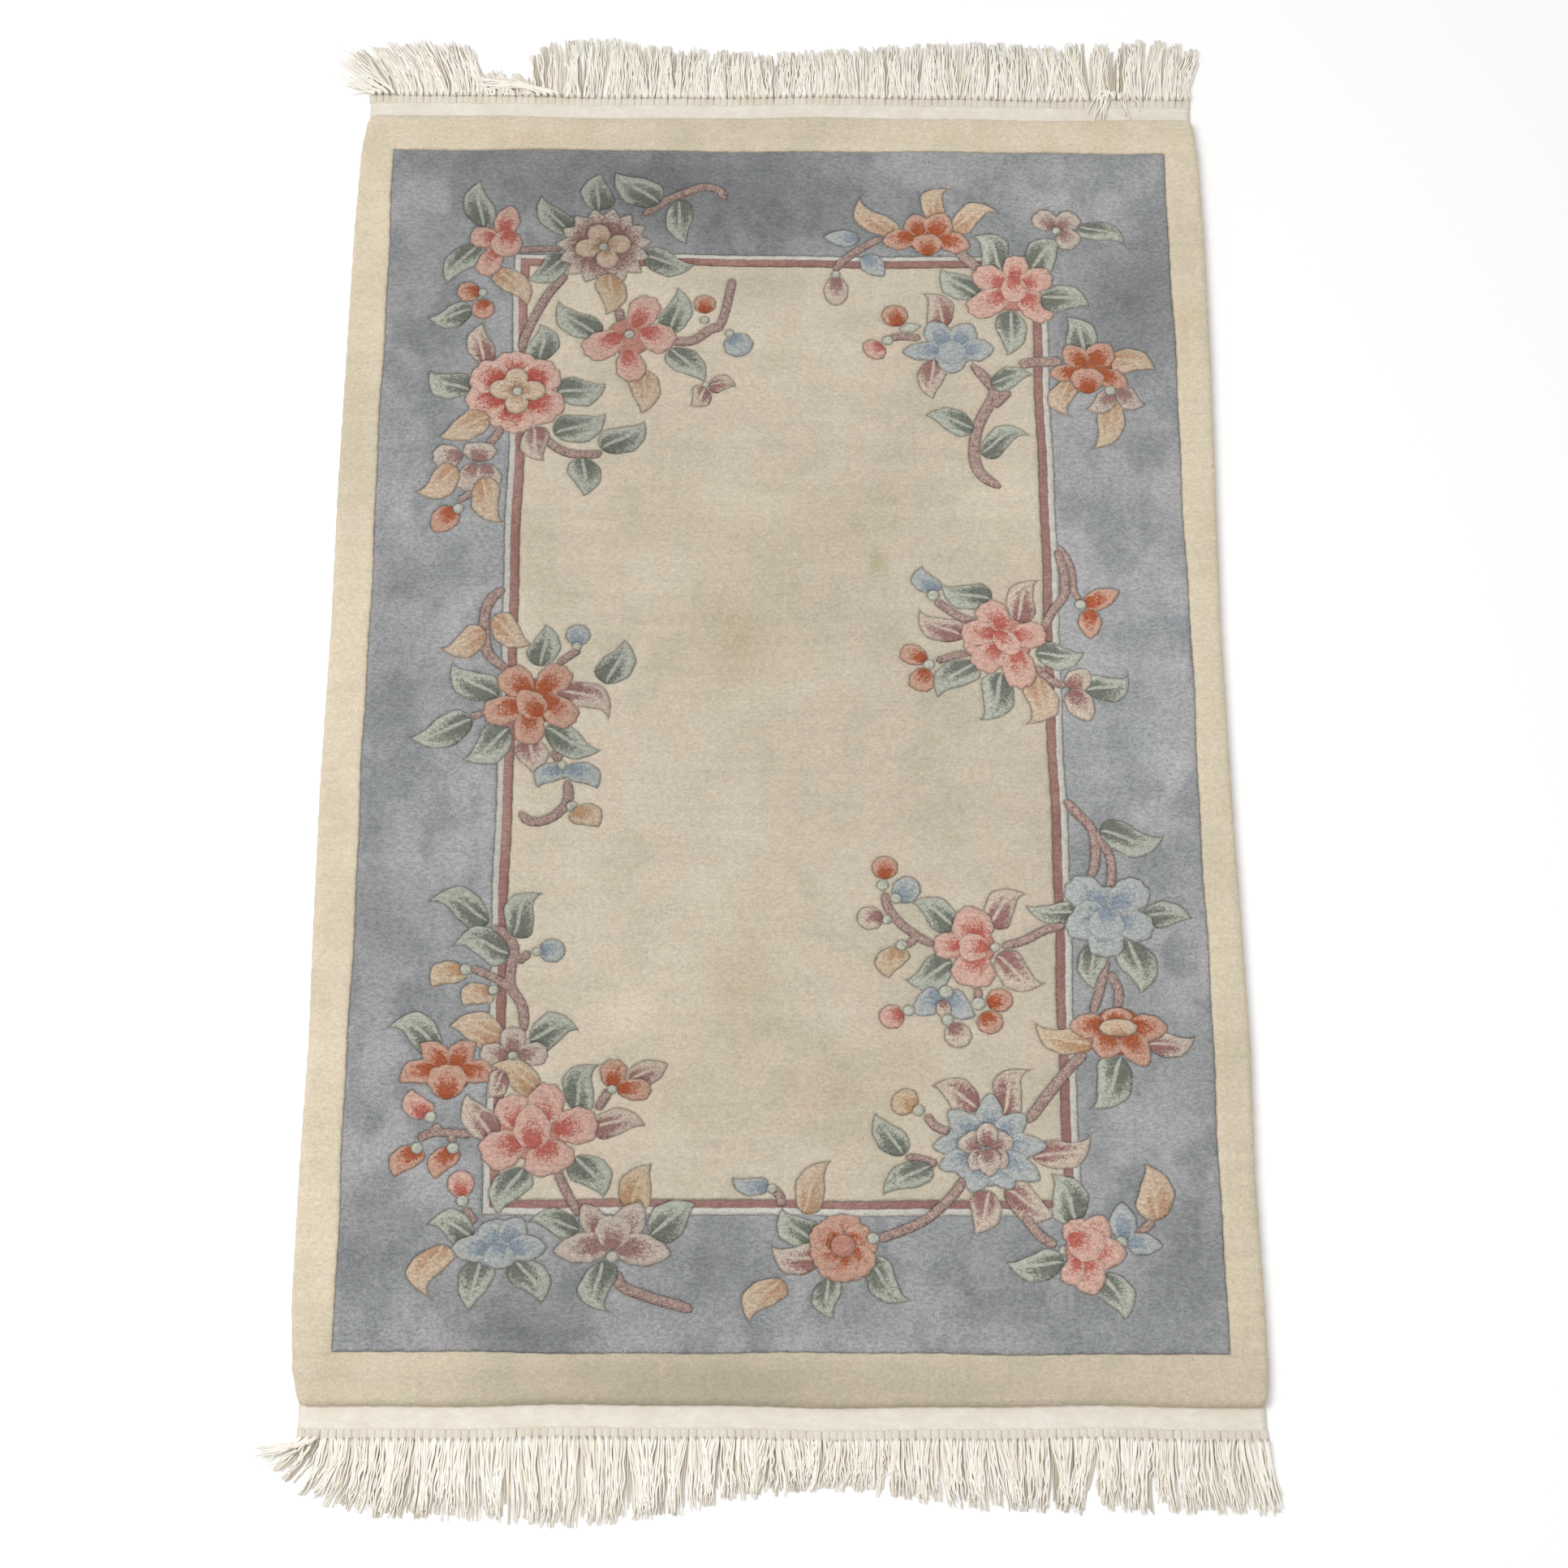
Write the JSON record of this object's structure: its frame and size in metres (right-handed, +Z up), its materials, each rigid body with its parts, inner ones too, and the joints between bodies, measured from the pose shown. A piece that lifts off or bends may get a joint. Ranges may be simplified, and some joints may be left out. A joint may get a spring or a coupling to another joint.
{
  "type": "carved wool rug",
  "caption": "Flat carved-pile floor rug with flower sprays on a blue border, flat-woven ends and knotted fringe.",
  "frame": {"origin": "middle of the whole rug's outline, fringes included, on the floor it lies on", "axes": "+X across the rug, +Y along it towards the end that is farthest in the picture, +Z up out of the pile"},
  "size_m": [0.9486, 1.768, 0.013],
  "materials": {
    "wool_pile": "matte cut wool pile",
    "cotton_fringe": "soft matte cotton yarn"
  },
  "bodies": {
    "root": {"carpet": "wool_pile", "fringe_far": "cotton_fringe", "fringe_near": "cotton_fringe"}
  },
  "joints": []
}
